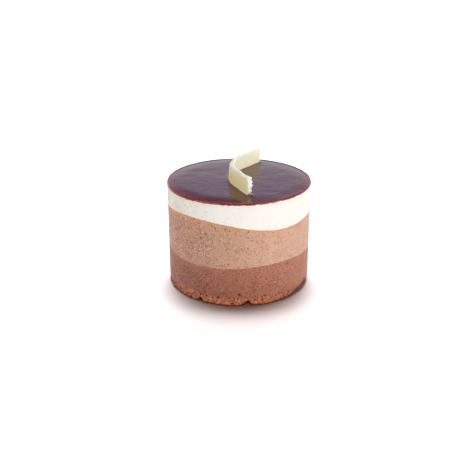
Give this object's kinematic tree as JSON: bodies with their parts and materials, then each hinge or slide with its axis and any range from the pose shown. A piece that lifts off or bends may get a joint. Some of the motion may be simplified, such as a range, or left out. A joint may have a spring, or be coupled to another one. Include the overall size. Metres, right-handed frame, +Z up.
{
  "type": "chocolate mousse entremet cake",
  "caption": "Round individual entremet: chocolate sponge, dark, milk and white chocolate mousse in bands, a dark mirror glaze, and a bent white chocolate strip on top.",
  "frame": {"origin": "centre of the flat underside of the sponge", "axes": "+Z up through the layers, -Y towards the front where the strip's broken end is, +X to the right of the front view"},
  "size_m": [0.0654, 0.0654, 0.0563],
  "materials": {
    "sponge_base": "rough, porous baked crumb",
    "dark_chocolate_mousse": "matt set foam with fine pores",
    "milk_chocolate_mousse": "matt set foam with fine pores",
    "white_chocolate_mousse": "smooth matt set foam",
    "mirror_glaze": "wet mirror gloss",
    "chocolate_curl": "satin tempered white chocolate"
  },
  "bodies": {
    "root": {"sponge_base": "sponge_base", "dark_chocolate_mousse": "dark_chocolate_mousse", "milk_chocolate_mousse": "milk_chocolate_mousse", "white_chocolate_mousse": "white_chocolate_mousse", "mirror_glaze": "mirror_glaze", "chocolate_curl": "chocolate_curl"}
  },
  "joints": []
}
